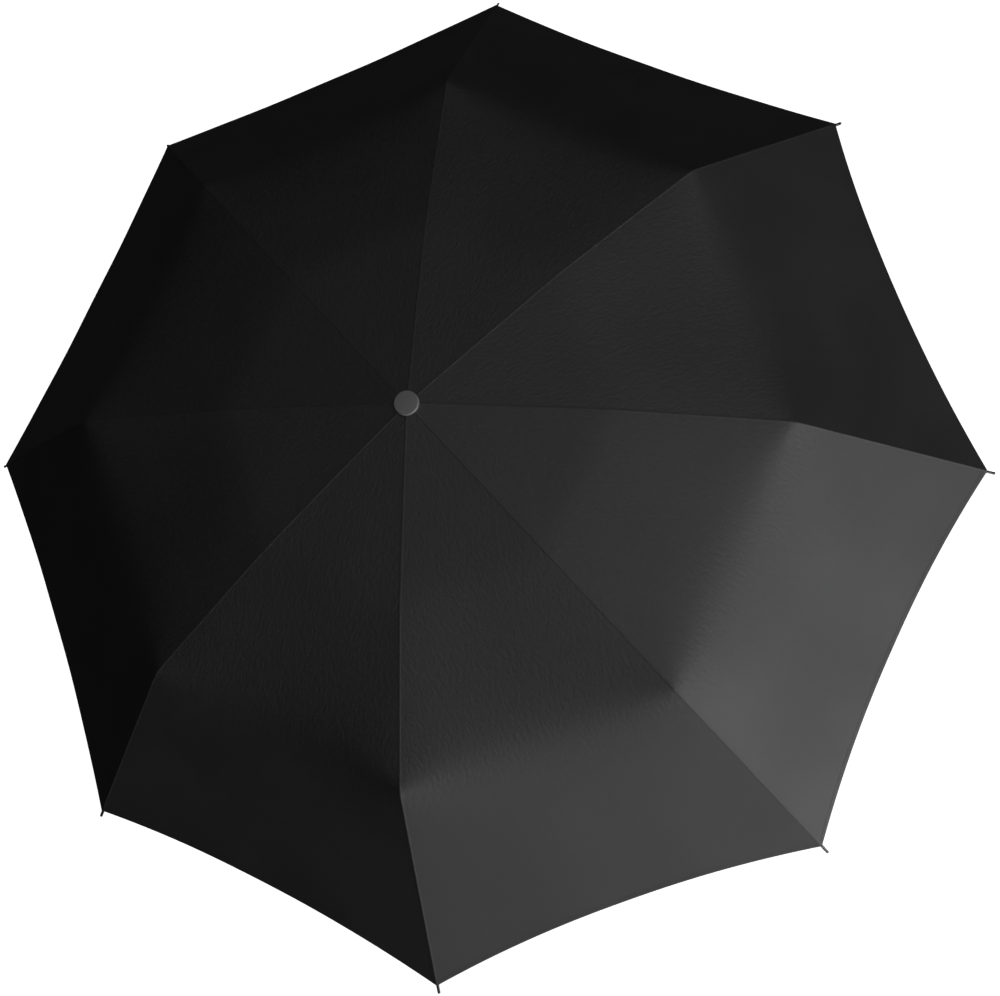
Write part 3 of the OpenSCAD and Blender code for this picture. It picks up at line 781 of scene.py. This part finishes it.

# %% [markdown]
# ## Spring leaves
# Two catches stand out of the tubes, and a latch leaf in the runner reaches into the top tube. In
# use the next part presses them back. A stiff leaf would cut through that part; here each one only
# gets a mesh of its own, and nothing flattens it.

# %% Give the leaves their own meshes
LATCH_TURN = math.radians(22.5)
LATCH_BACK = 0.00767
latch_way = Vector((math.cos(LATCH_TURN), math.sin(LATCH_TURN), 0))
leaves = {
    "lower_catch": ("middle_slide", (1, 0, 0), (-0.00326, 0, 0.166), 0.89),
    "upper_catch": ("top_slide", (1, 0, 0), (-0.00405, 0, 0.316), 0.91),
    "latch_spring": ("runner_slide", latch_way, LATCH_BACK * latch_way, 0.75),
}
for name, (joint, way, back, keep) in leaves.items():
    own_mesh(frame["nodes"][name])
print("spring leaves", list(leaves))

# %% [markdown]
# ## Cap
# The cap is a small turned disc that holds the cloth down on the crown. A plain dome would show a
# strong gradient, but the real one is almost flat and has a rounded rim, which is where it catches
# the light. A lathe needs no more than a profile: pairs of radius and height, turned about the
# shaft. Its rim reaches down to the sloping cloth, so that no gap shows from the side.

# %% Lathe
def ring_points(r, z, steps):
    turns = [2 * math.pi * j / steps for j in range(steps)]
    return [(r * math.cos(turn), r * math.sin(turn), z) for turn in turns]


def turned(name, profile, finish, steps):
    points, faces = [(0, 0, profile[0][1]), (0, 0, profile[-1][1])], []
    rings = profile[1:-1]
    for r, z in rings:
        points += ring_points(r, z, steps)
    for j in range(steps):
        n = (j + 1) % steps
        for i in range(len(rings) - 1):
            low, high = 2 + i * steps, 2 + (i + 1) * steps
            faces.append([low + j, low + n, high + n, high + j])
        last = 2 + (len(rings) - 1) * steps
        faces += [[0, 2 + n, 2 + j], [1, last + j, last + n]]
    mesh = bpy.data.meshes.new(name)
    mesh.from_pydata(points, [], faces)
    mesh.materials.append(finish)
    mesh.shade_smooth()
    return place_object(name, mesh)


print("lathe ready")

# %% Turn the cap
CAP_R, CAP_Z, CAP_STEPS = 0.01075, APEX_Z + 0.0004, 96
RIM, RIM_Z, RIM_STEPS = 0.0009, 0.0012, 8
DOME_H, DOME_R = 0.00025, 0.0098
stem = [(0, -0.007), (0.0022, -0.007), (0.0024, -0.0068), (0.0024, -0.0001), (0.0025, 0)]
under = [(0.0088, 0), (0.0092, -0.0002), (0.0095, -0.0012)]
lip = [(0.0097, -0.0013), (0.0104, -0.0013), (CAP_R, -0.0010), (CAP_R, 0.0004)]
rim = [(CAP_R - RIM + RIM * math.cos(a), RIM_Z + RIM * math.sin(a))
       for a in np.linspace(0, math.pi / 2, RIM_STEPS)]
dome = [(r, RIM_Z + RIM + DOME_H * (1 - (r / DOME_R) ** 2))
        for r in (0.0092, 0.008, 0.006, 0.004, 0.002, 0)]
cap_profile = [(r, CAP_Z + z) for r, z in stem + under + lip + rim + dome]
cap = turned("cap_turned", cap_profile, turned_metal, CAP_STEPS)
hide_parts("cap")
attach(cap, "top_shaft")
print("cap faces", len(cap.data.polygons))

# %% [markdown]
# ## Floor
# The photograph has a plain white ground. A floor that lights the cover from below would lift the
# dark gores, so the floor is a pale studio sweep that only the camera sees: a flat disc that curves
# up into a wall and closes overhead.

# %% Sweep
FLOOR_Z, SWEEP_R, SWEEP_H, SWEEP_STEPS = -0.5, 9.0, 9.0, 64
BEND_R, BEND_STEPS = 3.0, 12
sweep = [(0.0, FLOOR_Z), (SWEEP_R - BEND_R, FLOOR_Z)]
for i in range(1, BEND_STEPS + 1):
    bend = math.pi / 2 * i / BEND_STEPS
    out, rise = BEND_R * math.sin(bend), BEND_R - BEND_R * math.cos(bend)
    sweep.append((SWEEP_R - BEND_R + out, FLOOR_Z + rise))
sweep += [(SWEEP_R, FLOOR_Z + SWEEP_H), (0.0, FLOOR_Z + SWEEP_H)]
print("sweep rings", len(sweep))

# %% Floor
FLOOR_GLOW = 0.95
points = [point for r, z in sweep for point in ring_points(r, z, SWEEP_STEPS)]
faces = []
for i in range(len(sweep) - 1):
    low, high = i * SWEEP_STEPS, (i + 1) * SWEEP_STEPS
    for j in range(SWEEP_STEPS):
        n = (j + 1) % SWEEP_STEPS
        faces.append([low + j, low + n, high + n, high + j])
floor_mesh = bpy.data.meshes.new("floor")
floor_mesh.from_pydata(points, [], faces)
floor_mesh.shade_smooth()
floor = place_object("floor", floor_mesh)
ground, _, ground_shader = new_finish("ground", (0.8, 0.8, 0.8), 0.9)
ground_shader.inputs["Emission Color"].default_value = (1, 1, 1, 1)
ground_shader.inputs["Emission Strength"].default_value = FLOOR_GLOW
floor_mesh.materials.append(ground)
floor.visible_diffuse = False
floor.visible_glossy = False
floor.visible_shadow = False
print("floor faces", len(floor_mesh.polygons))

# %% [markdown]
# ## Light
# The light in the photograph comes from the lower right and very low down, so the gores that face
# that way are grey and those behind are almost black. A wide, low key lamp gives the direction, and
# a soft lamp overhead lifts the flat middle. A third from straight below and five fills from below
# all round stand for the light that a pale floor throws back. They reach the frame, the handle and
# the folded cover, but not the top of the open one.

# %% Light
SKY_STRENGTH = 0.011
FILL_ENERGY, FILL_SOFTNESS, FILL_TILT = 1.0, 14, math.radians(-56)
FILL_TURNS = (20, 100, 180, 260, 340)
sky = bpy.data.worlds.new("sky")
sky.use_nodes = True
sky.node_tree.nodes["Background"].inputs["Color"].default_value = (1, 1, 1, 1)
sky.node_tree.nodes["Background"].inputs["Strength"].default_value = SKY_STRENGTH
bpy.context.scene.world = sky


def lamp(name, energy, softness, source):
    data = bpy.data.lights.new(name, "SUN")
    data.energy = energy
    data.angle = math.radians(softness)
    light = place_object(name, data)
    light.rotation_euler = (-Vector(source)).to_track_quat("-Z", "Y").to_euler()


lamp("key", 2.3, 30, (0.101, -0.995, 0.0))
lamp("overhead", 0.7, 60, (0.331, -0.288, 0.899))
lamp("bounce", 0.6, 40, (0, 0, -1))
level_share, fill_height = math.cos(FILL_TILT), math.sin(FILL_TILT)
for number, turn in enumerate(map(math.radians, FILL_TURNS)):
    source = (level_share * math.cos(turn), level_share * math.sin(turn), fill_height)
    lamp(f"fill_{number}", FILL_ENERGY, FILL_SOFTNESS, source)
bpy.context.scene.view_settings.view_transform = "Standard"
